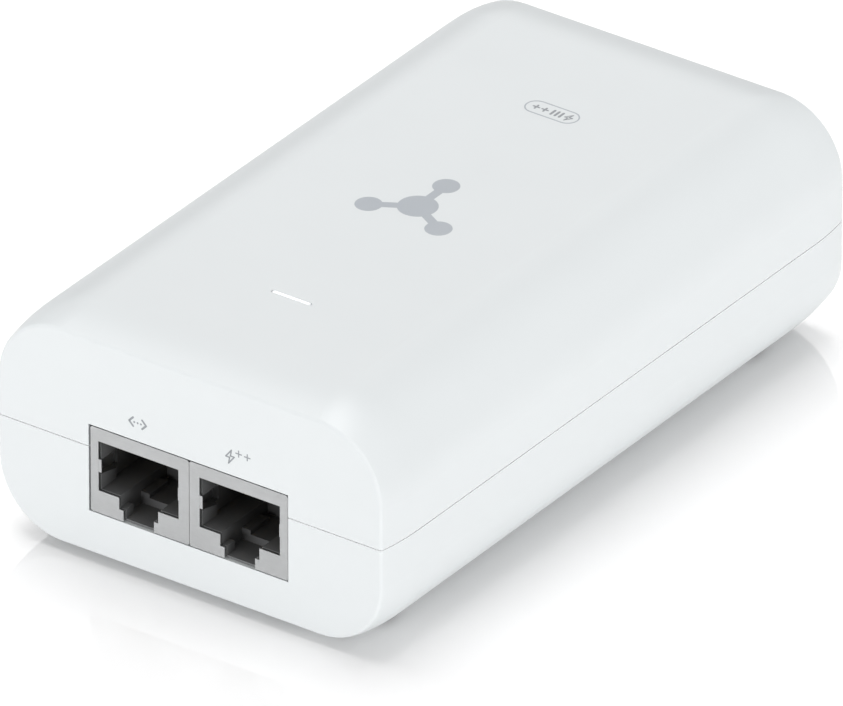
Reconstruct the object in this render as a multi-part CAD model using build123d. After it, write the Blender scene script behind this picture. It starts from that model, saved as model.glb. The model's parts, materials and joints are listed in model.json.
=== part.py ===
from build123d import *
import math
import os

# A mains-powered PoE injector: a two-shell case with two shielded RJ45 sockets in the front end,
# an IEC C14 inlet in the rear end, a lit status window on top, a slide-off wall bracket underneath
# and a switched-mode power supply inside.
# Millimetres. Origin: centre of the footprint, on the underside. +Z up, the sockets face -Y.

# ---------------------------------------------------------------- driving dimensions
WIDTH = 59.1
LENGTH = 99.5
HEIGHT = 33.2
CORNER_R = 11.15         # radius of the four long edges
ROLL = 6.9               # length over which the case tapers towards each end
ROLL_TOP = 1.5           # taper of the top and of the underside at the end face
ROLL_SIDE = 0.7          # taper of each flank at the end face
ROLL_CORNER = 1.8        # loss of corner radius at the end face
END_EDGE_R = 0.5
WALL = 2.0
END_WALL = 2.2
SEAM_Z = 16.47
SEAM_GAP = 0.14
LIP_H = 1.2
LIP_T = 0.9
LIP_CLEAR = 0.1

BOARD_T = 1.6
BOARD_TOP = 7.43
BOARD_BOTTOM = BOARD_TOP - BOARD_T
BOARD_W = 48.0
BOARD_L = 93.0

SOCKET_CUT = (-15.2, 14.9, 7.33, 19.66)      # x0, x1, z0, z1 of the hole in the front wall
SOCKET_FACE_Y = -LENGTH / 2 + 0.08
SOCKET_DEPTH = 18.0
SOCKET_TOP = 19.46
SOCKETS = {                                  # shield x0, shield x1, centre of the plug opening
    "data": (-14.95, -0.08, -7.72),
    "power": (-0.02, 14.78, 7.55),
}
PORT_W = 12.1
PORT_Z0 = 10.6
PORT_Z1 = 17.62
LATCH_UPPER_W = 5.9
LATCH_UPPER_Z0 = 8.95
LATCH_LOWER_W = 4.6
SHIELD_T = 0.2
SHIELD_BEND_R = 0.32
HOUSING_GAP = 0.25       # air between the face of the shield and the moulding behind it
SPRING_Z0 = 13.24        # ground springs at the sides of the opening
SPRING_Z1 = 15.04
SPRING_SLOT_Z0 = 12.8    # slots through the moulding for the springs
SPRING_SLOT_Z1 = 14.8
SPRING_SLOT_DROP = 0.6     # the floor of each slot falls away by this much behind the cheeks
CHEEK_DEPTH = 3.6        # depth of the guiding cheeks at the sides of the plug cavity
LATCH_CHANNEL_X = 3.05   # half width of the latch channel
LATCH_SILL_Z = 8.95      # short sills at the mouth of the latch channel
LATCH_SILL_X = 2.24
LATCH_SILL_DEPTH = 2.1
LATCH_SHELF_Z = 9.3      # shelves the latch catches on, with a raised floor between them
LATCH_SHELF_X = 1.74
LATCH_SHELF_DEPTH = 4.7
LATCH_FLOOR_Z = 8.7
CONTACT_COUNT = 8
CONTACT_PITCH = 1.02
CONTACT_WIRE = 0.36
CONTACT_PIVOT_Y = -46.0
CONTACT_TIP_Y = -38.4
CONTACT_TIP_Z = 14.3

INLET_W = 27.0
INLET_H = 19.8
INLET_DEPTH = 22.0
INLET_Z = BOARD_TOP + INLET_H / 2
INLET_FACE_Y = LENGTH / 2 - 0.15
INLET_RECESS_W = 24.4
INLET_RECESS_H = 16.8
INLET_RECESS_D = 15.5
INLET_CHAMFER = 5.0

WINDOW_X = 0.85
WINDOW_Y = -29.25
WINDOW_L = 6.05
WINDOW_W = 0.62
PIPE_L = 5.65
PIPE_W = 0.54

SCREW_X = 20.2
SCREW_Y = 39.5
SCREW_R = 1.5
SCREW_HEAD_R = 2.75
SCREW_HEAD_H = 2.0
SCREW_HEAD_Z = 1.6
SCREW_TIP_Z = 18.0

BRACKET_W = 34.0
BRACKET_L = 52.0
BRACKET_T = 1.7
BRACKET_HOLE_Y = 18.0
BRACKET_HOLE_R = 2.0
BRACKET_TRAVEL = 8.0
EAR_Y = 16.0
EAR_L = 7.0
EAR_REACH = 2.4
EAR_Z0 = 1.0
POCKET_Z = 2.0
RAIL_Z = 0.85


os.makedirs("parts", exist_ok=True)


# ---------------------------------------------------------------- helpers
def block(x0, x1, y0, y1, z0, z1):
    size = Box(x1 - x0, y1 - y0, z1 - z0)
    return Pos((x0 + x1) / 2, (y0 + y1) / 2, (z0 + z1) / 2) * size


def post(x, y, z0, z1, r):
    return Pos(x, y, (z0 + z1) / 2) * Cylinder(r, z1 - z0)


def rod_x(x0, x1, y, z, r):
    return Pos((x0 + x1) / 2, y, z) * Rot(0, 90, 0) * Cylinder(r, x1 - x0)


def rod_y(x, y0, y1, z, r):
    return Pos(x, (y0 + y1) / 2, z) * Rot(90, 0, 0) * Cylinder(r, y1 - y0)


def bar(points, size, x):
    """A square wire of the given size that follows points in the YZ plane at x."""
    half = size / 2
    pieces = []
    for (ya, za), (yb, zb) in zip(points, points[1:]):
        run = math.hypot(yb - ya, zb - za)
        angle = math.degrees(math.atan2(zb - za, yb - ya))
        middle = Pos(x, (ya + yb) / 2, (za + zb) / 2)
        pieces.append(middle * Rot(angle, 0, 0) * Box(size, run, size))
    for y, z in points[1:-1]:
        pieces.append(rod_x(x - half, x + half, y, z, half))
    wire = pieces[0]
    for piece in pieces[1:]:
        wire += piece
    return wire


def joined(pieces):
    shape = pieces[0]
    for piece in pieces[1:]:
        shape += piece
    return shape


def group(pieces):
    return Compound(children=[solid for piece in pieces for solid in piece.solids()])


def save(name, shape):
    export_step(shape, f"parts/{name}.step")


# ---------------------------------------------------------------- case form
def case_section(y, inset):
    """Rounded rectangle of the case at station y, moved inwards by inset."""
    from_end = LENGTH / 2 - abs(y)
    taper = max(0.0, 1.0 - from_end / ROLL) ** 2
    w = WIDTH - 2 * (ROLL_SIDE * taper + inset)
    h = HEIGHT - 2 * (ROLL_TOP * taper + inset)
    r = CORNER_R - ROLL_CORNER * taper - inset
    plane = Plane(origin=(0, y, HEIGHT / 2), x_dir=(1, 0, 0), z_dir=(0, 1, 0))
    return plane * RectangleRounded(w, h, r)


def case_form(inset, end_inset):
    """Solid of the case outline, offset inwards by inset on the flanks and end_inset at the ends."""
    straight = LENGTH / 2 - ROLL
    last = LENGTH / 2 - end_inset
    middle = extrude(case_section(-straight, inset), amount=2 * straight, dir=(0, 1, 0))
    form = middle
    for side in (-1, 1):
        steps = 5
        stations = [side * (straight + (last - straight) * i / steps) for i in range(steps + 1)]
        form += loft([case_section(y, inset) for y in stations])
    return form


outer = case_form(0.0, 0.0)
end_edges = []
for side in (-1, 1):
    face = outer.faces().sort_by(Axis.Y)[0 if side < 0 else -1]
    end_edges += list(face.edges())
outer = fillet(end_edges, END_EDGE_R)
cavity = case_form(WALL, END_WALL)
lip_outside = case_form(WALL - LIP_T, END_WALL - LIP_T)
rebate_outside = case_form(WALL - LIP_T - LIP_CLEAR, END_WALL - LIP_T - LIP_CLEAR)

big = 200.0
below_seam = block(-big, big, -big, big, -big, SEAM_Z - SEAM_GAP / 2)
above_seam = block(-big, big, -big, big, SEAM_Z + SEAM_GAP / 2, big)

socket_hole = block(SOCKET_CUT[0], SOCKET_CUT[1], -LENGTH / 2 - 1, -44.0, SOCKET_CUT[2], SOCKET_CUT[3])
inlet_hole = block(
    -INLET_W / 2 - 0.15,
    INLET_W / 2 + 0.15,
    44.0,
    LENGTH / 2 + 1,
    INLET_Z - INLET_H / 2 - 0.15,
    INLET_Z + INLET_H / 2 + 0.15,
)
screw_places = [(sx * SCREW_X, sy * SCREW_Y) for sx in (-1, 1) for sy in (-1, 1)]

# ---------------------------------------------------------------- lower shell
shell = outer - cavity
bottom = shell & below_seam
lip_band = block(-big, big, -big, big, SEAM_Z - 0.5, SEAM_Z + LIP_H)
bottom += (lip_outside - cavity) & lip_band
pocket_y0 = -BRACKET_L / 2 - 0.3
pocket_y1 = BRACKET_L / 2 + BRACKET_TRAVEL + 0.3
pocket_x = BRACKET_W / 2 + EAR_REACH + 0.3
rail_x = BRACKET_W / 2 + 0.3
floor_pad = block(-pocket_x - 1.6, pocket_x + 1.6, pocket_y0 - 1.6, pocket_y1 + 1.6, 1.0, POCKET_Z + 1.8)
bottom += floor_pad & outer
for x, y in screw_places:
    bottom += post(x, y, 1.5, 4.4, 4.2) & outer
    bottom += post(x, y, 1.5, BOARD_BOTTOM, 3.0)
bottom -= block(-pocket_x, pocket_x, pocket_y0, pocket_y1, RAIL_Z, POCKET_Z)
bottom -= block(-rail_x, rail_x, pocket_y0, pocket_y1, -1, POCKET_Z)
for sx in (-1, 1):
    for ey in (-EAR_Y, EAR_Y):
        notch_y = ey + BRACKET_TRAVEL
        x0, x1 = sorted((sx * (rail_x - 0.2), sx * pocket_x))
        bottom -= block(x0, x1, notch_y - EAR_L / 2 - 0.4, notch_y + EAR_L / 2 + 0.4, -1, POCKET_Z)
for x, y in screw_places:
    bottom -= post(x, y, -1, SCREW_HEAD_Z + SCREW_HEAD_H, SCREW_HEAD_R + 0.3)
    bottom -= post(x, y, -1, BOARD_BOTTOM + 1, SCREW_R + 0.2)
bottom -= socket_hole
bottom -= inlet_hole
save("bottom_cover", bottom)

# ---------------------------------------------------------------- upper shell
top = shell & above_seam
top -= (rebate_outside - case_form(WALL + 0.5, END_WALL + 0.5)) & block(
    -big, big, -big, big, SEAM_Z - 1, SEAM_Z + LIP_H + 0.2
)
for x, y in screw_places:
    top += post(x, y, BOARD_TOP, HEIGHT - 1.0, 3.0) & outer
for y in (-12.0, 6.0, 24.0):
    top += block(-20.0, 20.0, y - 0.6, y + 0.6, HEIGHT - WALL - 1.2, HEIGHT - 1.0)
window_x0 = WINDOW_X - WINDOW_L / 2
window_x1 = WINDOW_X + WINDOW_L / 2
top += block(window_x0 - 1.2, window_x1 + 1.2, WINDOW_Y - 2.2, WINDOW_Y + 2.2, 28.6, HEIGHT - 1.0)
window_slot = Plane(origin=(WINDOW_X, WINDOW_Y, 0)) * SlotOverall(WINDOW_L, WINDOW_W)
top -= extrude(window_slot, amount=HEIGHT + 1)
top -= block(window_x0 - 0.3, window_x1 + 0.3, WINDOW_Y - 1.3, WINDOW_Y + 1.3, 20.0, HEIGHT - WALL + 0.3)
for x, y in screw_places:
    top -= post(x, y, BOARD_TOP - 1, SCREW_TIP_Z + 1.0, SCREW_R - 0.05)
top -= socket_hole
top -= inlet_hole
save("top_cover", top)

# ---------------------------------------------------------------- case screws
screws = []
for x, y in screw_places:
    head = post(x, y, SCREW_HEAD_Z, SCREW_HEAD_Z + SCREW_HEAD_H, SCREW_HEAD_R)
    shank = post(x, y, SCREW_HEAD_Z + 1, SCREW_TIP_Z, SCREW_R - 0.05)
    recess = joined([
        block(x - 1.5, x + 1.5, y - 0.35, y + 0.35, SCREW_HEAD_Z - 1, SCREW_HEAD_Z + 1.2),
        block(x - 0.35, x + 0.35, y - 1.5, y + 1.5, SCREW_HEAD_Z - 1, SCREW_HEAD_Z + 1.2),
    ])
    screws.append(head + shank - recess)
save("case_screws", group(screws))

# ---------------------------------------------------------------- wall bracket
plate = Plane.XY * RectangleRounded(BRACKET_W, BRACKET_L, 3.0)
bracket = extrude(plate, amount=BRACKET_T)
for sx in (-1, 1):
    for ey in (-EAR_Y, EAR_Y):
        x0, x1 = sorted((sx * (BRACKET_W / 2 - 1), sx * (BRACKET_W / 2 + EAR_REACH)))
        bracket += block(x0, x1, ey - EAR_L / 2, ey + EAR_L / 2, EAR_Z0, BRACKET_T)
for hy in (-BRACKET_HOLE_Y, BRACKET_HOLE_Y):
    bracket -= post(0, hy, -1, BRACKET_T + 1, BRACKET_HOLE_R)
    bracket -= Pos(0, hy, BRACKET_T - 0.5) * Cone(BRACKET_HOLE_R, BRACKET_HOLE_R + 1.0, 1.0)
tongue_slot = block(-5.0, 5.0, -7.0, 7.0, -1, 3) - block(-4.0, 4.0, -8.0, 6.0, -1, 3)
bracket -= tongue_slot
save("wall_bracket", bracket)

# ---------------------------------------------------------------- sockets
socket_back_y = SOCKET_FACE_Y + SOCKET_DEPTH
board_leads = []          # (x, y, radius) of every lead that passes through the board


def port_void(xc, y0, y1):
    """The plug opening with its stepped latch notch, between two depths."""
    opening = block(xc - PORT_W / 2, xc + PORT_W / 2, y0, y1, PORT_Z0, PORT_Z1)
    upper = block(xc - LATCH_UPPER_W / 2, xc + LATCH_UPPER_W / 2, y0, y1, LATCH_UPPER_Z0, PORT_Z0 + 1)
    lower = block(xc - LATCH_LOWER_W / 2, xc + LATCH_LOWER_W / 2, y0, y1, 0.0, PORT_Z0)
    return opening + upper + lower


def socket_shield(x0, x1, xc):
    middle = ((x0 + x1) / 2, SOCKET_FACE_Y, (BOARD_TOP + SOCKET_TOP) / 2)
    outline_plane = Plane(origin=middle, x_dir=(1, 0, 0), z_dir=(0, -1, 0))
    outline = outline_plane * RectangleRounded(x1 - x0, SOCKET_TOP - BOARD_TOP, SHIELD_BEND_R)
    inside = block(
        x0 + SHIELD_T,
        x1 - SHIELD_T,
        SOCKET_FACE_Y + SHIELD_T,
        socket_back_y - SHIELD_T,
        0.0,
        SOCKET_TOP - SHIELD_T,
    )
    shield = extrude(outline, amount=-SOCKET_DEPTH) - inside
    shield -= port_void(xc, SOCKET_FACE_Y - 1, SOCKET_FACE_Y + SHIELD_T + 0.1)
    # the ground springs are bent in from the two sides of the opening
    left = xc - PORT_W / 2
    right = xc + PORT_W / 2
    for x_in, x_out in ((left + 0.43, left - 0.3), (right - 0.1, right + 0.3)):
        x_low, x_high = sorted((x_in, x_out))
        shield += block(x_low, x_high, SOCKET_FACE_Y + 0.02, SOCKET_FACE_Y + SHIELD_T, SPRING_Z0, SPRING_Z1)
    # solder pegs
    for peg_y in (-41.5, -33.5):
        for peg_x in (x0 + SHIELD_T / 2, x1 - SHIELD_T / 2):
            peg_x0 = peg_x - SHIELD_T / 2
            peg_x1 = peg_x + SHIELD_T / 2
            shield += block(peg_x0, peg_x1, peg_y - 0.6, peg_y + 0.6, BOARD_BOTTOM - 0.6, BOARD_TOP + 1)
    return shield


def socket_housing(x0, x1, xc):
    front = SOCKET_FACE_Y + SHIELD_T + HOUSING_GAP
    back = socket_back_y - SHIELD_T
    body = block(x0 + SHIELD_T, x1 - SHIELD_T, front, back, BOARD_TOP, SOCKET_TOP - SHIELD_T)
    cavity_back = -36.9
    cheek_y = SOCKET_FACE_Y + CHEEK_DEPTH
    shelf_y = SOCKET_FACE_Y + LATCH_SHELF_DEPTH
    sill_y = SOCKET_FACE_Y + LATCH_SILL_DEPTH
    floor_z = BOARD_TOP + 0.25
    wide = LATCH_CHANNEL_X
    # plug cavity, a little tighter than the opening in the shield, and wider behind the cheeks
    body -= block(xc - 5.93, xc + 5.93, front - 1, cavity_back, PORT_Z0 + 0.05, PORT_Z1 - 0.1)
    body -= block(xc - 6.5, xc + 6.5, cheek_y, cavity_back - 1.5, PORT_Z0 + 0.05, PORT_Z1 - 0.1)
    spring_slot = Plane.YZ * Polygon(
        (front - 0.01, SPRING_SLOT_Z0),
        (cheek_y, SPRING_SLOT_Z0 - SPRING_SLOT_DROP),
        (cheek_y + 1, SPRING_SLOT_Z0 - SPRING_SLOT_DROP),
        (cheek_y + 1, SPRING_SLOT_Z1),
        (front - 0.01, SPRING_SLOT_Z1),
        align=None,
    )
    body -= Pos(x0 - 1, 0, 0) * extrude(spring_slot, amount=x1 - x0 + 2, dir=(1, 0, 0))
    # latch channel: deep at the mouth, then a raised floor between two shelves
    body -= block(xc - wide, xc + wide, front - 1, shelf_y, floor_z, PORT_Z0 + 1)
    for side in (-1, 1):
        sill_x0, sill_x1 = sorted((xc + side * LATCH_SILL_X, xc + side * (wide + 0.1)))
        body += block(sill_x0, sill_x1, front, sill_y, floor_z - 0.1, LATCH_SILL_Z)
    body -= block(xc - wide, xc + wide, shelf_y - 1, -39.5, LATCH_SHELF_Z, PORT_Z0 + 1)
    body -= block(xc - LATCH_SHELF_X, xc + LATCH_SHELF_X, shelf_y - 1, -39.5, LATCH_FLOOR_Z, PORT_Z0)
    body -= block(xc - wide, xc + wide, -41.0, -39.5, LATCH_FLOOR_Z, PORT_Z0)
    # comb chamber for the contacts above the plug
    body -= block(xc - 4.35, xc + 4.35, front + 2.0, cavity_back, PORT_Z1 - 1, 18.35)
    # lead-in slopes at the front of the cavity floor and roof
    slope = Plane.YZ * Polygon(
        (front - 0.01, PORT_Z1 - 0.2),
        (front + 1.1, PORT_Z1 - 0.2),
        (front - 0.01, PORT_Z1 + 0.45),
        align=None,
    )
    body -= Pos(xc - 5.93, 0, 0) * extrude(slope, amount=11.86, dir=(1, 0, 0))
    # slots for the fixed leads over the roof and down the back
    for i in range(CONTACT_COUNT):
        x = xc + (i - (CONTACT_COUNT - 1) / 2) * CONTACT_PITCH
        half = CONTACT_WIRE / 2 + 0.02
        body -= block(x - half, x + half, front + 2.0, back + 1, 18.3, 18.82)
        body -= block(x - half, x + half, back - 0.5, back + 1, BOARD_TOP - 1, 18.82)
    return body


def socket_leads(xc):
    leads = []
    back = socket_back_y - SHIELD_T - 0.25
    for i in range(CONTACT_COUNT):
        x = xc + (i - (CONTACT_COUNT - 1) / 2) * CONTACT_PITCH
        path = [(CONTACT_PIVOT_Y + 0.1, 18.6), (back, 18.6), (back, BOARD_BOTTOM - 0.8)]
        leads.append(bar(path, CONTACT_WIRE, x))
        board_leads.append((x, back, CONTACT_WIRE * 0.75))
    return leads


def socket_contacts(xc):
    contacts = []
    for i in range(CONTACT_COUNT):
        x = xc + (i - (CONTACT_COUNT - 1) / 2) * CONTACT_PITCH
        path = [
            (CONTACT_PIVOT_Y, 18.1),
            (CONTACT_PIVOT_Y - 0.35, 17.95),
            (CONTACT_PIVOT_Y - 0.3, 17.5),
            (CONTACT_TIP_Y, CONTACT_TIP_Z),
        ]
        contacts.append(bar(path, CONTACT_WIRE, x))
    return contacts


shield_pegs = []
for name, (x0, x1, xc) in SOCKETS.items():
    save(f"{name}_socket_shield", socket_shield(x0, x1, xc))
    save(f"{name}_socket_housing", socket_housing(x0, x1, xc))
    save(f"{name}_socket_leads", group(socket_leads(xc)))
    save(f"{name}_socket_contacts", group(socket_contacts(xc)))
    for peg_y in (-41.5, -33.5):
        for peg_x in (x0 + SHIELD_T / 2, x1 - SHIELD_T / 2):
            shield_pegs.append((peg_x, peg_y))

# ---------------------------------------------------------------- mains inlet
inlet_back_y = INLET_FACE_Y - INLET_DEPTH
inlet = block(-INLET_W / 2, INLET_W / 2, inlet_back_y, INLET_FACE_Y, BOARD_TOP, BOARD_TOP + INLET_H)
half_w = INLET_RECESS_W / 2
half_h = INLET_RECESS_H / 2
recess_outline = Polygon(
    (-half_w, -half_h),
    (half_w, -half_h),
    (half_w, half_h - INLET_CHAMFER),
    (half_w - INLET_CHAMFER, half_h),
    (-half_w + INLET_CHAMFER, half_h),
    (-half_w, half_h - INLET_CHAMFER),
    align=None,
)
recess_plane = Plane(origin=(0, INLET_FACE_Y - INLET_RECESS_D, INLET_Z), x_dir=(-1, 0, 0), z_dir=(0, 1, 0))
inlet -= extrude(recess_plane * recess_outline, amount=INLET_RECESS_D + 1)
pin_places = {"line": (-7.0, -1.0), "neutral": (7.0, -1.0), "earth": (0.0, 3.0)}
PIN_W = 2.0
PIN_H = 4.0
PIN_BEVEL = 0.5
tail_y = inlet_back_y - 1.4
pins = []
for px, pz in pin_places.values():
    z = INLET_Z + pz
    z0 = z - PIN_H / 2
    z1 = z + PIN_H / 2
    blade = block(px - PIN_W / 2, px + PIN_W / 2, inlet_back_y - 0.6, INLET_FACE_Y - 1.2, z0, z1)
    inlet -= block(px - PIN_W / 2, px + PIN_W / 2, inlet_back_y - 1, INLET_FACE_Y - 8, z0, z1)
    tail = block(px - 1.0, px + 1.0, tail_y - 0.4, inlet_back_y - 0.01, z0, z1)
    leg = block(px - 0.7, px + 0.7, tail_y - 0.4, tail_y + 0.4, BOARD_BOTTOM - 0.8, z)
    blade = chamfer(blade.faces().sort_by(Axis.Y)[-1].edges(), PIN_BEVEL)
    pins.append(blade + tail + leg)
save("inlet_housing", inlet)
save("inlet_pins", group(pins))


# ---------------------------------------------------------------- parts on the board
def lead(x, y, z1, r=0.4):
    board_leads.append((x, y, r))
    return post(x, y, BOARD_BOTTOM - 0.8, z1, r)


P = BOARD_TOP

# bulk capacitor of the mains side, lying on the board
BULK_X, BULK_Y0, BULK_Y1, BULK_R = -15.7, -3.0, 21.0, 7.9
bulk_z = P + BULK_R + 0.15
bulk = rod_y(BULK_X, BULK_Y0, BULK_Y1, bulk_z, BULK_R)
bulk -= rod_y(BULK_X, BULK_Y0 + 2.2, BULK_Y0 + 3.2, bulk_z, BULK_R + 1) - rod_y(
    BULK_X, BULK_Y0 + 2, BULK_Y0 + 4, bulk_z, BULK_R - 0.5
)
for dx in (-3.75, 3.75):
    bulk += rod_y(BULK_X + dx, BULK_Y1 - 0.5, BULK_Y1 + 1.5, bulk_z, 0.3)
    bulk += lead(BULK_X + dx, BULK_Y1 + 1.5, bulk_z + 0.45)
save("bulk_capacitor", bulk)

# transformer: ferrite pair, bobbin with pins, wound coil
TX, TY = 4.5, 1.0
TCORE_X, TCORE_Y, TCORE_H = 11.0, 9.0, 19.0
t_z0 = P + 2.0
t_z1 = t_z0 + TCORE_H
t_mid = (t_z0 + t_z1) / 2
halves = []
for z0, z1 in ((t_z0, t_mid - 0.05), (t_mid + 0.05, t_z1)):
    half = block(TX - TCORE_X, TX + TCORE_X, TY - 6.0, TY + 6.0, z0, z1)
    window = block(TX - 8.0, TX + 8.0, TY - 7.0, TY + 7.0, t_z0 + 3.0, t_z1 - 3.0)
    window -= post(TX, TY, t_z0, t_z1, 4.5)
    halves.append(half - window)
save("transformer_core", group(halves))
bobbin = post(TX, TY, t_z0 + 3.1, t_z1 - 3.1, 5.2)
for z0, z1 in ((t_z0 + 3.1, t_z0 + 4.0), (t_z1 - 4.0, t_z1 - 3.1)):
    bobbin += post(TX, TY, z0, z1, 7.7) + block(TX - 7.0, TX + 7.0, TY - TCORE_Y, TY + TCORE_Y, z0, z1)
bobbin -= post(TX, TY, t_z0, t_z1, 4.6)
for sy in (-1, 1):
    y0, y1 = sorted((TY + sy * 6.2, TY + sy * (TCORE_Y + 1.0)))
    bobbin += block(TX - 8.5, TX + 8.5, y0, y1, P + 0.4, t_z0 + 4.0)
    for i in range(5):
        bobbin += lead(TX + (i - 2) * 3.5, TY + sy * (TCORE_Y - 0.4), P + 1.0, 0.35)
save("transformer_bobbin", bobbin)
coil = post(TX, TY, t_z0 + 4.05, t_z1 - 4.05, 7.6) - post(TX, TY, t_z0, t_z1, 5.25)
save("transformer_winding", coil)

# X capacitor and common-mode choke of the mains filter
xcap = block(-5.0, 11.0, 17.6, 25.1, P + 0.2, P + 13.0)
xcap = fillet(xcap.edges().filter_by(Axis.Z), 0.8)
for x in (-4.0, 10.0):
    xcap += lead(x, 21.3, P + 1.0)
save("x_capacitor", xcap)
CHOKE_X0, CHOKE_X1, CHOKE_Y, CHOKE_Z, CHOKE_R = 15.2, 21.6, 20.0, P + 8.1, 5.6
choke = rod_x(CHOKE_X0, CHOKE_X1, CHOKE_Y, CHOKE_Z, CHOKE_R)
choke -= rod_x(CHOKE_X0 - 1, CHOKE_X1 + 1, CHOKE_Y, CHOKE_Z, 3.0)
save("choke_core", choke)
winding = []
for sign in (-1, 1):
    sector = []
    sleeve = rod_x(CHOKE_X0 - 0.9, CHOKE_X1 + 0.9, CHOKE_Y, CHOKE_Z, CHOKE_R + 0.9)
    sleeve -= rod_x(CHOKE_X0 - 2, CHOKE_X1 + 2, CHOKE_Y, CHOKE_Z, 2.1)
    sleeve -= rod_x(CHOKE_X0 - 0.02, CHOKE_X1 + 0.02, CHOKE_Y, CHOKE_Z, CHOKE_R + 0.02) - rod_x(
        CHOKE_X0 - 1, CHOKE_X1 + 1, CHOKE_Y, CHOKE_Z, 2.98
    )
    y0, y1 = sorted((CHOKE_Y + sign * 0.9, CHOKE_Y + sign * 9.0))
    sleeve &= block(CHOKE_X0 - 2, CHOKE_X1 + 2, y0, y1, CHOKE_Z - 9, CHOKE_Z + 9)
    for i in range(2):
        sleeve += lead(16.4 + i * 4.0, CHOKE_Y + sign * 2.6, CHOKE_Z - CHOKE_R + 0.3, 0.35)
    winding.append(sleeve)
save("choke_windings", group(winding))

# fuse, surge varistor, bridge rectifier
fuse = post(-19.0, 31.0, P + 0.3, P + 8.3, 4.2)
fuse = fillet(fuse.edges().sort_by(Axis.Z)[-1], 0.8)
for dy in (-2.5, 2.5):
    fuse += lead(-19.0, 31.0 + dy, P + 1.0, 0.3)
save("fuse", fuse)
varistor = rod_x(17.4, 20.8, 31.6, P + 6.2, 4.9)
varistor = fillet(varistor.edges().filter_by(GeomType.CIRCLE), 1.0)
for dy in (-3.0, 3.0):
    varistor += lead(19.1, 31.6 + dy, P + 4.5, 0.35)
save("surge_varistor", varistor)
bridge = block(-6.0, 9.0, 13.2, 16.6, P + 1.2, P + 11.5)
bridge = chamfer(bridge.edges().sort_by(Axis.Z)[-4:], 0.4)
for i in range(4):
    bridge += lead(-4.2 + i * 3.8, 14.9, P + 1.6, 0.35)
save("bridge_rectifier", bridge)


def power_package(x_face, direction, yc):
    """TO-220 package with its metal tab against a heatsink face at x_face."""
    tab = block(*sorted((x_face, x_face + direction * 1.25)), yc - 5.0, yc + 5.0, P + 4.0, P + 18.5)
    tab -= rod_x(x_face - 5, x_face + 5, yc, P + 16.0, 1.7)
    mould = block(
        *sorted((x_face + direction * 1.25, x_face + direction * 4.4)), yc - 5.0, yc + 5.0, P + 4.0, P + 13.0
    )
    package = tab + mould
    for i in (-1, 0, 1):
        package += lead(x_face + direction * 2.6, yc + i * 2.54, P + 4.5, 0.4)
    return package


def heatsink(x0, x1, y0, y1, z1, hole_y):
    sink = block(x0, x1, y0, y1, P + 0.1, z1)
    sink -= rod_x(x0 - 1, x1 + 1, hole_y, P + 16.0, 1.35)
    for y in (y0 + 2.5, y1 - 2.5):
        sink += lead((x0 + x1) / 2, y, P + 1.0, 0.5)
    return sink


def clamp_screw(x_face, direction, yc, sink_t):
    shank = rod_x(*sorted((x_face - direction * (sink_t + 0.6), x_face + direction * 1.5)), yc, P + 16.0, 1.3)
    head = rod_x(*sorted((x_face + direction * 1.3, x_face + direction * 3.0)), yc, P + 16.0, 2.4)
    slot = block(
        *sorted((x_face + direction * 2.3, x_face + direction * 4.0)), yc - 3, yc + 3, P + 15.7, P + 16.3
    )
    return shank + head - slot


save("primary_heatsink", heatsink(22.0, 23.6, -9.0, 11.0, P + 19.5, 1.0))
save("power_transistor", power_package(22.0, -1, 1.0))
save("secondary_heatsink", heatsink(-23.6, -22.0, -25.0, -6.0, P + 19.5, -15.5))
save("output_rectifier", power_package(-22.0, 1, -15.5))
save("heatsink_screws", group([clamp_screw(22.0, -1, 1.0, 1.6), clamp_screw(-22.0, 1, -15.5, 1.6)]))

# secondary side
caps = []
for y in (-11.6, -22.6):
    can = post(-11.6, y, P + 0.2, P + 16.2, 5.0)
    can = fillet(can.edges().sort_by(Axis.Z)[-1], 0.5)
    groove = post(-11.6, y, P + 1.8, P + 2.5, 6.0) - post(-11.6, y, P + 1.0, P + 3.0, 4.6)
    can -= groove
    vent = block(-14.6, -8.6, y - 0.15, y + 0.15, P + 16.0, P + 17.0)
    vent += block(-11.75, -11.45, y - 3.0, y + 3.0, P + 16.0, P + 17.0)
    can -= vent
    for dy in (-2.5, 2.5):
        can += lead(-11.6, y + dy, P + 1.0, 0.35)
    caps.append(can)
save("output_capacitors", group(caps))
inductor = block(15.2, 23.2, -33.2, -25.2, P + 0.05, P + 5.0)
inductor = chamfer(inductor.edges().filter_by(Axis.Z), 1.2)
inductor -= post(19.2, -29.2, P + 4.6, P + 6.0, 3.0) - post(19.2, -29.2, P + 4.0, P + 6.5, 2.6)
save("output_inductor", inductor)
ycap = rod_y(9.5, -13.2, -10.4, P + 5.2, 3.9)
ycap = fillet(ycap.edges().filter_by(GeomType.CIRCLE), 0.9)
for dx in (-2.5, 2.5):
    ycap += lead(9.5 + dx, -11.8, P + 4.0, 0.3)
save("y_capacitor", ycap)


def moulded_chip(x0, x1, y0, y1, h, legs, leg_axis):
    """Moulded package with flat legs along two opposite sides, resting on the board."""
    body = block(x0, x1, y0, y1, P + 0.12, P + h)
    body = chamfer(body.edges().group_by(Axis.Z)[-1], min(0.25, h / 6))
    for i in range(legs):
        t = (i + 0.5) / legs
        if leg_axis == "y":
            y = y0 + (y1 - y0) * t
            body += block(x0 - 0.9, x0 + 0.2, y - 0.2, y + 0.2, P, P + 0.3)
            body += block(x1 - 0.2, x1 + 0.9, y - 0.2, y + 0.2, P, P + 0.3)
        else:
            x = x0 + (x1 - x0) * t
            body += block(x - 0.2, x + 0.2, y0 - 0.9, y0 + 0.2, P, P + 0.3)
            body += block(x - 0.2, x + 0.2, y1 - 0.2, y1 + 0.9, P, P + 0.3)
    return body


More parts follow.
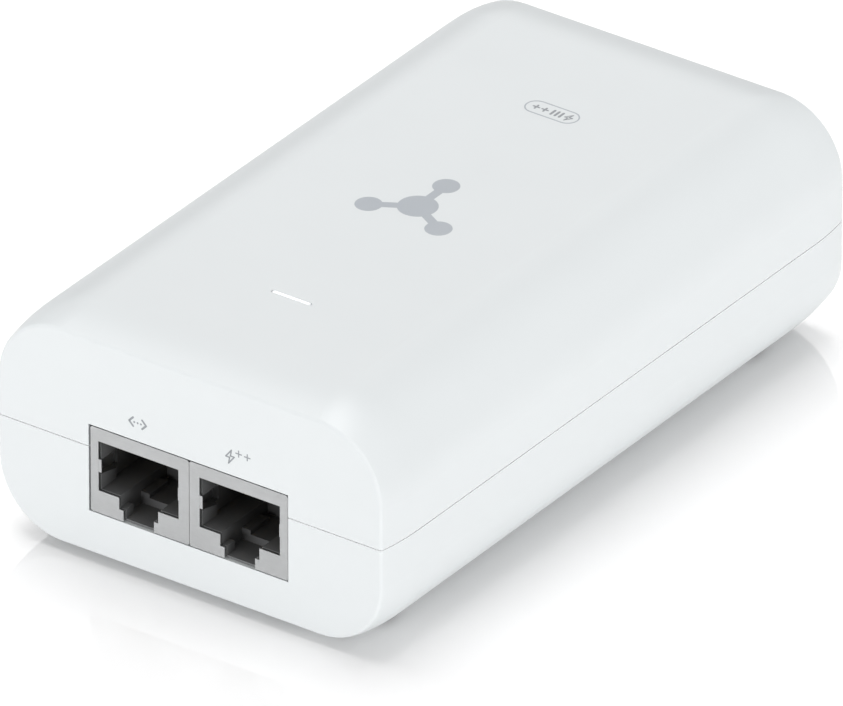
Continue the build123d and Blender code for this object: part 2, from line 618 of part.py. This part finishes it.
save("optocoupler", moulded_chip(-3.4, 1.2, -13.4, -10.2, 3.4, 2, "x"))
save("lan_magnetics", moulded_chip(-4.5, 11.5, -24.4, -16.0, 5.6, 12, "x"))
save("poe_controller", moulded_chip(14.5, 20.5, -21.5, -15.5, 1.1, 8, "y"))
save("pwm_controller", moulded_chip(13.8, 17.8, 12.6 - 1.3, 12.6 + 1.3, 1.5, 4, "x"))

chips = []
for i in range(7):
    chips.append(block(-20.0 + i * 2.3, -18.8 + i * 2.3, -29.6, -27.6, P, P + 0.6))
for i in range(5):
    chips.append(block(13.6, 15.2, -12.6 + i * 1.9, -11.6 + i * 1.9, P, P + 0.55))
for i in range(4):
    chips.append(block(5.0 + i * 2.2, 6.2 + i * 2.2, -29.4, -27.4, P, P + 0.9))
save("chip_components", group(chips))

# ---------------------------------------------------------------- status light
led = block(WINDOW_X - 1.6, WINDOW_X + 1.6, WINDOW_Y - 0.75, WINDOW_Y + 0.75, P, P + 0.9)
save("status_led", led)
pipe_plane = Plane(origin=(WINDOW_X, WINDOW_Y, HEIGHT - WALL))
pipe = extrude(pipe_plane * SlotOverall(PIPE_L, PIPE_W), amount=WALL)
flange_z = HEIGHT - WALL + 0.2
pipe += block(WINDOW_X - 2.95, WINDOW_X + 2.95, WINDOW_Y - 1.1, WINDOW_Y + 1.1, flange_z - 1.8, flange_z)
pipe += block(WINDOW_X - 1.6, WINDOW_X + 1.6, WINDOW_Y - 0.8, WINDOW_Y + 0.8, P + 1.2, HEIGHT - WALL - 1.0)
save("light_pipe", pipe)

# ---------------------------------------------------------------- circuit board and insulator
board_plan = Plane(origin=(0, 0, BOARD_BOTTOM)) * RectangleRounded(BOARD_W, BOARD_L, 2.0)
board = extrude(board_plan, amount=BOARD_T)
for x, y in screw_places:
    board -= post(x, y, 0, 20, SCREW_R + 0.2)
for x, y, r in board_leads:
    board -= post(x, y, 0, 20, r)
for x, y in shield_pegs:
    board -= block(x - 0.3, x + 0.3, y - 0.75, y + 0.75, 0, 20)
for px, _ in pin_places.values():
    board -= block(px - 0.7, px + 0.7, tail_y - 0.4, tail_y + 0.4, 0, 20)
save("circuit_board", board)
sheet = block(-21.0, 21.0, -36.0, 44.5, POCKET_Z + 1.85, POCKET_Z + 2.1)
for x, y in screw_places:
    sheet -= post(x, y, 0, 20, 4.6)
save("insulating_sheet", sheet)
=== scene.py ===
import bpy
import bmesh
import json
import math
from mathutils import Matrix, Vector


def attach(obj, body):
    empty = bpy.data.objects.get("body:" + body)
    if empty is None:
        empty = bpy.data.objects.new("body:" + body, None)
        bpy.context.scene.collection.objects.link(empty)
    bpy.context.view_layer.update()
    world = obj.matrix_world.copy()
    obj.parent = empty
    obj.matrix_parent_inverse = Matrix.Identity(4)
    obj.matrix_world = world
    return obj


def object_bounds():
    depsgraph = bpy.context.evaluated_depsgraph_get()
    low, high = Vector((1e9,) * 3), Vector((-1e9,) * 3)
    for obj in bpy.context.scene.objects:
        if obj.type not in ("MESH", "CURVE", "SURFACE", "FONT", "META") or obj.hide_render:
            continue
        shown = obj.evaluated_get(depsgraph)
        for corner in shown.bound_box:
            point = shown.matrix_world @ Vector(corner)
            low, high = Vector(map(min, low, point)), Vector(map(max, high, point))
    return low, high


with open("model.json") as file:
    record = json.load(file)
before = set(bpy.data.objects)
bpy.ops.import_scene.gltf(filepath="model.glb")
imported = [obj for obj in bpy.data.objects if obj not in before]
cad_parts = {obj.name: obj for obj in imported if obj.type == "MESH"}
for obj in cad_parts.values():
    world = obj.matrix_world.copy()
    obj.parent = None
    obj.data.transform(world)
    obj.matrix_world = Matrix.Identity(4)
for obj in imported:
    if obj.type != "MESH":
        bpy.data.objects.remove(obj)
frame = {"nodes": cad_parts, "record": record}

CAD_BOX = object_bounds()
NODES = frame["nodes"]
BODY = "injector"
MM = 0.001
WHITE = (1.0, 1.0, 1.0, 1.0)


def toward(azimuth, elevation):
    """Unit vector from the part: azimuth in degrees from its front, towards its right side."""
    az, el = math.radians(azimuth), math.radians(elevation)
    return Vector((math.sin(az) * math.cos(el), -math.cos(az) * math.cos(el), math.sin(el)))


# ---------------------------------------------------------------- camera
CAM_AZ = 35.263             # degrees
CAM_EL = 30.169
CAM_LENS = 1153.02          # a long lens: the view is nearly parallel
CAM_DISTANCE = 3.3422       # metres, as are the three below
CAM_AIM = Vector((0.0, 0.0, 0.018))
CAM_RIGHT = -0.00025        # the camera is moved this far sideways and up, without turning
CAM_UP = -0.0058977

back = toward(CAM_AZ, CAM_EL)
rotation = (-back).to_track_quat("-Z", "Y")
cam_data = bpy.data.cameras.new("camera")
camera = bpy.data.objects.new("camera", cam_data)
bpy.context.scene.collection.objects.link(camera)
cam_data.sensor_width = 36.0
cam_data.lens = CAM_LENS
cam_data.clip_start = 0.1
cam_data.clip_end = 12.0
camera.rotation_mode = "QUATERNION"
camera.rotation_quaternion = rotation
camera.location = (
    CAM_AIM
    + back * CAM_DISTANCE
    + rotation @ Vector((1, 0, 0)) * CAM_RIGHT
    + rotation @ Vector((0, 1, 0)) * CAM_UP
)
bpy.context.scene.camera = camera


# ---------------------------------------------------------------- materials
class Tree:
    """Short names for building one node material."""

    def __init__(self, name):
        self.name = name
        self.mat = bpy.data.materials.new(name)
        self.mat.use_nodes = True
        self.nodes = self.mat.node_tree.nodes
        self.links = self.mat.node_tree.links
        self.nodes.clear()
        self.out = self.nodes.new("ShaderNodeOutputMaterial")
        self.shader = self.nodes.new("ShaderNodeBsdfPrincipled")
        self.links.new(self.shader.outputs[0], self.out.inputs["Surface"])
        self.coords = self.nodes.new("ShaderNodeTexCoord").outputs["Object"]

    def link(self, a, b):
        self.links.new(a, b)

    def scaled(self, x, y, z):
        node = self.nodes.new("ShaderNodeMapping")
        node.inputs["Scale"].default_value = (x, y, z)
        self.link(self.coords, node.inputs["Vector"])
        return node.outputs[0]

    def noise(self, scale, detail=2.0, rough=0.5, vector=None):
        node = self.nodes.new("ShaderNodeTexNoise")
        node.inputs["Scale"].default_value = scale
        node.inputs["Detail"].default_value = detail
        node.inputs["Roughness"].default_value = rough
        self.link(vector or self.coords, node.inputs["Vector"])
        return node.outputs["Fac"]

    def cells(self, scale):
        node = self.nodes.new("ShaderNodeTexVoronoi")
        node.inputs["Scale"].default_value = scale
        self.link(self.coords, node.inputs["Vector"])
        return node.outputs["Distance"]

    def spread(self, value, low, high, from_low=0.3, from_high=0.7):
        node = self.nodes.new("ShaderNodeMapRange")
        node.inputs["From Min"].default_value = from_low
        node.inputs["From Max"].default_value = from_high
        node.inputs["To Min"].default_value = low
        node.inputs["To Max"].default_value = high
        self.link(value, node.inputs["Value"])
        return node.outputs["Result"]

    def blend(self, factor, a, b):
        node = self.nodes.new("ShaderNodeMix")
        node.data_type = "RGBA"
        self.link(factor, node.inputs[0])
        for socket, value in ((node.inputs[6], a), (node.inputs[7], b)):
            if isinstance(value, tuple):
                socket.default_value = (*value, 1.0)
            else:
                self.link(value, socket)
        return node.outputs[2]

    def bump(self, height, strength, distance):
        node = self.nodes.new("ShaderNodeBump")
        node.inputs["Strength"].default_value = strength
        node.inputs["Distance"].default_value = distance
        self.link(height, node.inputs["Height"])
        return node.outputs[0]

    def along(self, axis):
        node = self.nodes.new("ShaderNodeSeparateXYZ")
        self.link(self.coords, node.inputs[0])
        return node.outputs[axis]

    def set(self, **values):
        for key, value in values.items():
            socket = self.shader.inputs[key.replace("_", " ")]
            if isinstance(value, (int, float, tuple)):
                socket.default_value = value
            else:
                self.link(value, socket)


def shade(colour, k):
    return tuple(min(1.0, c * k) for c in colour)


def two_tone(tree, factor, colour, vary):
    """The colour, darker and lighter by the given part."""
    dark, light = shade(colour, 1.0 - vary), shade(colour, 1.0 + vary)
    return tree.blend(tree.spread(factor, 0.0, 1.0), dark, light)


def moulded(name, colour, rough, grain=3500.0, grain_depth=0.01 * MM, vary=0.03, patch=0.05, coat=0.0):
    """Moulded plastic: a fine eroded texture, a faint flow variation and a patchy roughness."""
    t = Tree(name)
    flow = t.noise(55.0, 3.0, 0.55)
    fine = t.noise(grain, 2.0, 0.6)
    t.set(Base_Color=two_tone(t, flow, colour, vary))
    t.set(Roughness=t.spread(t.noise(140.0, 4.0, 0.6), rough - patch, rough + patch))
    t.set(Coat_Weight=coat)
    t.set(Normal=t.bump(fine, 0.35, grain_depth))
    return t


def metal(name, colour, rough, stretch=(1.0, 1.0, 1.0), scratch=2500.0, depth=0.004 * MM, vary=0.06):
    """Plated or rolled metal with fine directional brushing and a cloudy tone."""
    t = Tree(name)
    cloud = t.noise(300.0, 3.0, 0.6)
    lines = t.noise(scratch, 3.0, 0.7, t.scaled(*stretch))
    t.set(Base_Color=two_tone(t, cloud, colour, vary))
    t.set(Metallic=1.0)
    t.set(Roughness=t.spread(lines, rough - 0.07, rough + 0.09))
    t.set(Normal=t.bump(lines, 0.3, depth))
    return t


MATERIALS = {}


def keep(tree):
    MATERIALS[tree.name] = tree.mat


SEAM_Z = 16.47 * MM            # height of the seam between the covers
SEAM_HALF = 0.078 * MM         # half its width, with a hair to spare


def case_material():
    """The pale shell plastic, with the walls of the seam between the covers painted paler still:
    painted light against the shade in the narrow gap.
    """
    colour = (0.625, 0.649, 0.657)
    t = moulded("case_plastic", colour, 0.38, 4200.0, 0.006 * MM, vary=0.006, patch=0.012)
    outside = t.shader.inputs["Base Color"].links[0].from_socket
    # painted light: a band at the seam's height gets a paler colour, lifting the shade in the gap
    # between the covers
    painted_seam_light = t.nodes.new("ShaderNodeMath")
    painted_seam_light.operation = "COMPARE"
    t.link(t.along("Z"), painted_seam_light.inputs[0])
    painted_seam_light.inputs[1].default_value = SEAM_Z
    painted_seam_light.inputs[2].default_value = SEAM_HALF
    t.set(Base_Color=t.blend(painted_seam_light.outputs[0], outside, (0.96, 0.97, 0.975)))
    return t


keep(case_material())
keep(moulded("bracket_plastic", (0.74, 0.76, 0.77), 0.45, grain=2600.0, vary=0.012))
keep(metal("screw_steel", (0.62, 0.63, 0.65), 0.30, scratch=3500.0))
keep(metal("shield_steel", (0.583, 0.593, 0.597), 0.42, (0.25, 1.0, 1.0), scratch=5000.0, vary=0.02))
keep(metal("contact_gold", (0.86, 0.64, 0.28), 0.24, (1.0, 0.2, 0.2), scratch=4000.0))
keep(metal("pin_nickel", (0.74, 0.72, 0.68), 0.22, (1.0, 0.15, 1.0), scratch=3000.0))
keep(metal("heatsink_aluminium", (0.80, 0.81, 0.82), 0.34, (1.0, 0.08, 1.0), 2600.0, 0.008 * MM))
keep(moulded("inlet_plastic", (0.022, 0.022, 0.024), 0.42, 2400.0, 0.014 * MM, vary=0.12))
keep(moulded("bobbin_plastic", (0.035, 0.034, 0.033), 0.5, vary=0.12))
keep(moulded("fuse_plastic", (0.10, 0.05, 0.03), 0.4, vary=0.10))
keep(moulded("chip_plastic", (0.03, 0.03, 0.032), 0.55, 5200.0, 0.012 * MM, vary=0.15))
keep(moulded("opto_plastic", (0.80, 0.78, 0.72), 0.5, grain=4200.0, vary=0.04))
keep(moulded("box_capacitor", (0.80, 0.58, 0.08), 0.38, vary=0.05))
keep(moulded("capacitor_sleeve", (0.035, 0.05, 0.12), 0.25, 700.0, 0.03 * MM, vary=0.10, coat=0.3))
keep(moulded("varistor_coating", (0.05, 0.16, 0.50), 0.25, 900.0, 0.04 * MM, vary=0.10, coat=0.4))
keep(moulded("led_body", (0.86, 0.86, 0.80), 0.3, vary=0.03))


def board_material():
    """Solder mask over copper: blocks of buried track change its tone, over a fibre weave."""
    t = Tree("board_laminate")
    tracks = t.nodes.new("ShaderNodeTexBrick")
    tracks.inputs["Scale"].default_value = 420.0
    tracks.inputs["Color1"].default_value = (0.018, 0.13, 0.05, 1.0)
    tracks.inputs["Color2"].default_value = (0.030, 0.19, 0.08, 1.0)
    tracks.inputs["Mortar"].default_value = (0.012, 0.085, 0.035, 1.0)
    tracks.inputs["Mortar Size"].default_value = 0.03
    t.link(t.coords, tracks.inputs["Vector"])
    weave = t.nodes.new("ShaderNodeTexWave")
    weave.inputs["Scale"].default_value = 900.0
    weave.inputs["Distortion"].default_value = 1.5
    t.link(t.coords, weave.inputs["Vector"])
    t.set(Base_Color=tracks.outputs["Color"])
    t.set(Roughness=t.spread(t.noise(400.0), 0.24, 0.38))
    t.set(Normal=t.bump(weave.outputs["Fac"], 0.15, 0.01 * MM))
    return t


def ferrite_material():
    """Sintered ferrite: dark grey, porous, with worn pale grains."""
    t = Tree("ferrite")
    pores = t.cells(2600.0)
    worn = t.spread(pores, 0.0, 1.0, 0.0, 0.8)
    t.set(Base_Color=t.blend(worn, (0.035, 0.035, 0.038), (0.085, 0.083, 0.082)))
    t.set(Roughness=t.spread(t.noise(900.0, 4.0, 0.6), 0.45, 0.7))
    t.set(Normal=t.bump(pores, 0.4, 0.02 * MM))
    return t


def tape_material():
    """Polyester tape in overlapping turns."""
    t = Tree("winding_tape")
    turns = t.nodes.new("ShaderNodeTexWave")
    turns.bands_direction = "Z"
    turns.inputs["Scale"].default_value = 130.0
    turns.inputs["Distortion"].default_value = 0.6
    t.link(t.coords, turns.inputs["Vector"])
    t.set(Base_Color=t.blend(turns.outputs["Fac"], (0.70, 0.42, 0.03), (0.90, 0.62, 0.07)))
    t.set(Roughness=t.spread(t.noise(500.0), 0.18, 0.32))
    t.set(Normal=t.bump(turns.outputs["Fac"], 0.4, 0.03 * MM))
    return t


def copper_material():
    """Enamelled wire wound side by side: rounded ribs of one wire's pitch, with painted shade in the
    grooves between turns.
    """
    t = Tree("copper_wire")
    ribs = t.nodes.new("ShaderNodeTexWave")
    ribs.wave_profile = "SIN"
    ribs.bands_direction = "Y"
    ribs.inputs["Scale"].default_value = 420.0
    ribs.inputs["Distortion"].default_value = 0.2
    t.link(t.coords, ribs.inputs["Vector"])
    # painted shade: the colour darkens in the troughs of the ribs, the grooves between turns
    t.set(Base_Color=t.blend(ribs.outputs["Fac"], (0.28, 0.08, 0.025), (0.72, 0.28, 0.10)))
    t.set(Metallic=0.85, Coat_Weight=0.6, Coat_Roughness=0.1)
    t.set(Roughness=t.spread(t.noise(700.0), 0.18, 0.34))
    t.set(Normal=t.bump(ribs.outputs["Fac"], 0.8, 0.12 * MM))
    return t


MOUTH_Y = CAD_BOX[0].y + 1.25 * MM     # just inside the plug openings
DEEP_Y = MOUTH_Y + 6.0 * MM            # from here back the socket's colour is painted at its darkest, as painted shade


def socket_material():
    """Glass-filled black plastic, painted paler at the mouth of the socket and darker towards its
    back: painted shade of the deep recess.
    """
    t = Tree("socket_plastic")
    # painted shade: the base colour darkens with depth into the socket, from MOUTH_Y to DEEP_Y
    depth = t.spread(t.along("Y"), 0.0, 1.0, MOUTH_Y, DEEP_Y)
    flow = t.spread(t.noise(260.0, 3.0, 0.6), 0.0, 1.0)
    mouth = t.blend(flow, (0.126, 0.128, 0.130), (0.148, 0.150, 0.152))
    t.set(Base_Color=t.blend(depth, mouth, (0.052, 0.052, 0.0525)))
    t.set(Roughness=t.spread(t.noise(140.0, 4.0, 0.6), 0.45, 0.55))
    t.set(Normal=t.bump(t.noise(3200.0), 0.35, 0.01 * MM))
    return t


def film_material():
    """Insulating paper: pale, fibrous and slightly translucent."""
    t = Tree("insulating_film")
    fibres = t.noise(900.0, 6.0, 0.7, t.scaled(1.0, 0.2, 1.0))
    t.set(Base_Color=t.blend(t.spread(fibres, 0.0, 1.0), (0.72, 0.68, 0.56), (0.86, 0.83, 0.74)))
    t.set(Roughness=t.spread(fibres, 0.5, 0.7), Subsurface_Weight=0.15)
    t.set(Normal=t.bump(fibres, 0.3, 0.03 * MM))
    return t


def ceramic_material():
    """Fired ceramic: brown, with fine pale specks."""
    t = Tree("chip_ceramic")
    speck = t.noise(3500.0, 3.0, 0.6)
    t.set(Base_Color=t.blend(t.spread(speck, 0.0, 1.0), (0.20, 0.15, 0.10), (0.42, 0.34, 0.24)))
    t.set(Roughness=t.spread(speck, 0.35, 0.55))
    t.set(Normal=t.bump(speck, 0.2, 0.01 * MM))
    return t


PIPE_LIT_Z = CAD_BOX[1].z - 0.1 * MM   # just under the light pipe's end face in the slit
PIPE_DIM_Z = PIPE_LIT_Z - 1.6 * MM     # from here down it hardly glows


def light_pipe_material():
    """Frosted acrylic, lit from below: the end face in the slit glows, the shaft only a little."""
    t = Tree("light_pipe_clear")
    glow = t.spread(t.along("Z"), 0.05, 0.22, PIPE_DIM_Z, PIPE_LIT_Z)
    frost = t.noise(2500.0, 3.0, 0.6)
    t.set(Base_Color=t.blend(t.spread(frost, 0.0, 1.0), (0.90, 0.93, 0.97), (1.0, 1.0, 1.0)))
    t.set(Transmission_Weight=0.5, IOR=1.49, Emission_Color=WHITE)
    t.set(Roughness=t.spread(frost, 0.25, 0.45), Emission_Strength=glow)
    t.set(Normal=t.bump(frost, 0.2, 0.01 * MM))
    return t


for build in (
    socket_material,
    board_material,
    ferrite_material,
    tape_material,
    copper_material,
    film_material,
    ceramic_material,
    light_pipe_material,
):
    keep(build())

slot_of = {row["node"]: row["material_slot"] for row in frame["record"]["subparts"]}
for name, obj in NODES.items():
    obj.data.materials.clear()
    obj.data.materials.append(MATERIALS[slot_of[name]])

# ---------------------------------------------------------------- printed marks
ink = moulded("print_ink", (0.375, 0.40, 0.43), 0.5, 5000.0, 0.004 * MM)
fine_ink = moulded("print_ink_fine", (0.26, 0.275, 0.29), 0.5, 5000.0, 0.004 * MM)
INK_TOP = 0.012                # the ink's face over the plastic, in millimetres like all the outlines
INK_GAP = 0.002                # its underside over the plastic
INK_STEP = 0.02                # pieces that overlap differ in height by this part, in turn
INK_STEPS = 7


def outline_of(path, width, closed=False):
    """Polygons of a stroke along a path: a strip for each span and a disc at each point."""
    polygons = []
    count = len(path)
    spans = range(count if closed else count - 1)
    for i in spans:
        a, b = Vector(path[i]), Vector(path[(i + 1) % count])
        direction = (b - a).normalized()
        side = Vector((-direction.y, direction.x)) * (width / 2)
        polygons.append([a + side, a - side, b - side, b + side])
    rounded = list(path) if closed else list(path[1:-1]) + [path[0], path[-1]]
    polygons += [disc(p, width / 2, 16) for p in rounded]
    return polygons


def disc(centre, radius, steps):
    turns = [2 * math.pi * k / steps for k in range(steps)]
    return [Vector(centre) + Vector((math.cos(a), math.sin(a))) * radius for a in turns]


def pill(half_length, half_height, steps=24):
    """The points of an outline with straight sides and half-round ends."""
    points = []
    straight = half_length - half_height
    for sign in (1, -1):
        for k in range(steps + 1):
            a = -math.pi / 2 + math.pi * k / steps
            x = straight + half_height * math.cos(a)
            points.append((sign * x, sign * half_height * math.sin(a)))
    return points


def printed(name, polygons, film, origin, across, up):
    """Ink film: the polygons laid on the surface at origin, in metres, and given a thickness."""
    axes = (across * MM, up * MM, across.cross(up) * MM)
    mesh = bpy.data.meshes.new(name)
    bm = bmesh.new()
    for i, polygon in enumerate(polygons):
        rows = []
        for height in (INK_GAP, INK_TOP * (1.0 + INK_STEP * (i % INK_STEPS))):
            level = origin + axes[2] * height
            rows.append([bm.verts.new(level + axes[0] * p[0] + axes[1] * p[1]) for p in polygon])
        low, high = rows
        count = len(polygon)
        bm.faces.new(high)
        bm.faces.new(list(reversed(low)))
        for k in range(count):
            bm.faces.new([low[k], low[(k + 1) % count], high[(k + 1) % count], high[k]])
    bmesh.ops.recalc_face_normals(bm, faces=bm.faces)
    bm.to_mesh(mesh)
    bm.free()
    obj = bpy.data.objects.new(name, mesh)
    bpy.context.scene.collection.objects.link(obj)
    mesh.materials.append(film.mat)
    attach(obj, BODY)


RIGHT = Vector((1, 0, 0))
LENGTHWISE = Vector((0, 1, 0))
UP = Vector((0, 0, 1))


def on_top(x, y):
    return Vector((x * MM, y * MM, CAD_BOX[1].z))


def on_front(x, z):
    return Vector((x * MM, CAD_BOX[0].y, z * MM))


# a generic network mark: three nodes joined to a hub
SPOKE = 6.1                    # from the hub's centre to a node's
SPOKE_W = 1.25
HUB_R = 2.6
NODE_R = 1.75
ROOT = 0.15                    # how far a spoke's ends run in under the discs
mark = [disc((0.0, 0.0), HUB_R, 48)]
for angle in (90, 210, 330):
    ray = Vector((math.cos(math.radians(angle)), math.sin(math.radians(angle))))
    inner = ray * (HUB_R - ROOT)
    outer = ray * (SPOKE - NODE_R + ROOT)
    mark.append(outline_of([inner, outer], SPOKE_W)[0])
    mark.append(disc(ray * SPOKE, NODE_R, 40))
printed("print_network_mark", mark, ink, on_top(0.47, -1.9), RIGHT, LENGTHWISE)

BOLT = [(0.22, 1.0), (-0.66, -0.12), (-0.06, -0.12), (-0.22, -1.0), (0.66, 0.12), (0.06, 0.12)]
PLUS_SIZE = 0.42               # from the centre of a plus sign to a stroke's end
THIN = 0.17                    # stroke widths
THICK = 0.27


def bolt(cx, size, width):
    return outline_of([(cx + x * size, y * size) for x, y in BOLT], width, closed=True)


def plus(cx, cy, width):
    level = outline_of([(cx - PLUS_SIZE, cy), (cx + PLUS_SIZE, cy)], width)
    return level + outline_of([(cx, cy - PLUS_SIZE), (cx, cy + PLUS_SIZE)], width)


# a pill holding a bolt, three level bars and two plus signs, read from the far side
label_at = on_top(0.54, 26.9)
pill_line = outline_of(pill(3.81, 1.46), 0.19, closed=True)
printed("print_power_pill", pill_line, ink, label_at, -RIGHT, -LENGTHWISE)
BAR_HALF = 0.52
BAR_W = 0.34
label = bolt(-2.5, 0.8, THIN)
for x in (-1.4, -0.76, -0.12):
    label += outline_of([(x, -BAR_HALF), (x, BAR_HALF)], BAR_W)
label += plus(1.05, 0.02, THICK)
label += plus(2.35, 0.02, THICK)
printed("print_power_label", label, fine_ink, label_at, -RIGHT, -LENGTHWISE)

# over the left socket: two angle brackets around three dots
BRACKET_IN = 0.68              # from the icon's centre to a bracket's ends
BRACKET_OUT = 1.28             # and to its point
BRACKET_HALF = 0.62
data_icon = []
for side in (-1, 1):
    ends_x = side * BRACKET_IN
    bracket = [(ends_x, BRACKET_HALF), (side * BRACKET_OUT, 0.0), (ends_x, -BRACKET_HALF)]
    data_icon += outline_of(bracket, THICK)
for x in (-0.5, 0.0, 0.5):
    data_icon.append(disc((x, 0.0), 0.14, 20))
printed("print_data_symbol", data_icon, fine_ink, on_front(-7.74, 22.24), RIGHT, UP)

# over the right socket: a bolt and two raised plus signs
power_icon = bolt(0.0, 0.97, 0.19)
power_icon += plus(1.3, 0.8, THIN)
power_icon += plus(2.6, 0.72, THIN)
printed("print_power_symbol", power_icon, fine_ink, on_front(6.19, 22.21), RIGHT, UP)

# ---------------------------------------------------------------- floor, world and lights
FLOOR_HALF = 4.0               # metres
floor_mesh = bpy.data.meshes.new("floor")
floor_bm = bmesh.new()
corners = ((-1, -1), (1, -1), (1, 1), (-1, 1))
floor_bm.faces.new([floor_bm.verts.new((x * FLOOR_HALF, y * FLOOR_HALF, 0.0)) for x, y in corners])
floor_bm.to_mesh(floor_mesh)
floor_bm.free()
floor = bpy.data.objects.new("floor", floor_mesh)
bpy.context.scene.collection.objects.link(floor)
floor.location.z = CAD_BOX[0].z
floor_tree = Tree("floor_white")
floor_tree.set(Base_Color=(0.97, 0.965, 0.965, 1.0), Roughness=0.05, Specular_IOR_Level=0.5)
floor_mesh.materials.append(floor_tree.mat)

world = bpy.data.worlds.new("world")
world.use_nodes = True
bpy.context.scene.world = world
background = world.node_tree.nodes["Background"]
background.inputs["Color"].default_value = WHITE
background.inputs["Strength"].default_value = 0.42

LAMP_DISTANCE = 1.2            # metres from the part, as the sizes are


def softbox(name, azimuth, elevation, size, power, glare=True):
    """A rectangular lamp aimed at the part; without glare, it never shows as a reflection."""
    data = bpy.data.lights.new(name, "AREA")
    data.shape = "RECTANGLE"
    data.size, data.size_y = size
    data.energy = power
    lamp = bpy.data.objects.new(name, data)
    bpy.context.scene.collection.objects.link(lamp)
    direction = toward(azimuth, elevation)
    lamp.location = direction * LAMP_DISTANCE
    lamp.rotation_mode = "QUATERNION"
    lamp.rotation_quaternion = (-direction).to_track_quat("-Z", "Y")
    lamp.visible_glossy = glare


softbox("overhead", 242.0, 80.0, (0.9, 0.9), 9.1)
softbox("front_fill", -9.0, 7.0, (0.9, 0.24), 9.75, glare=False)
softbox("side_fill", 92.0, 7.0, (0.9, 0.24), 9.8, glare=False)
softbox("floor_sheen", 215.0, 30.0, (0.55, 0.5), 1.5)

bpy.context.scene.view_settings.view_transform = "Standard"
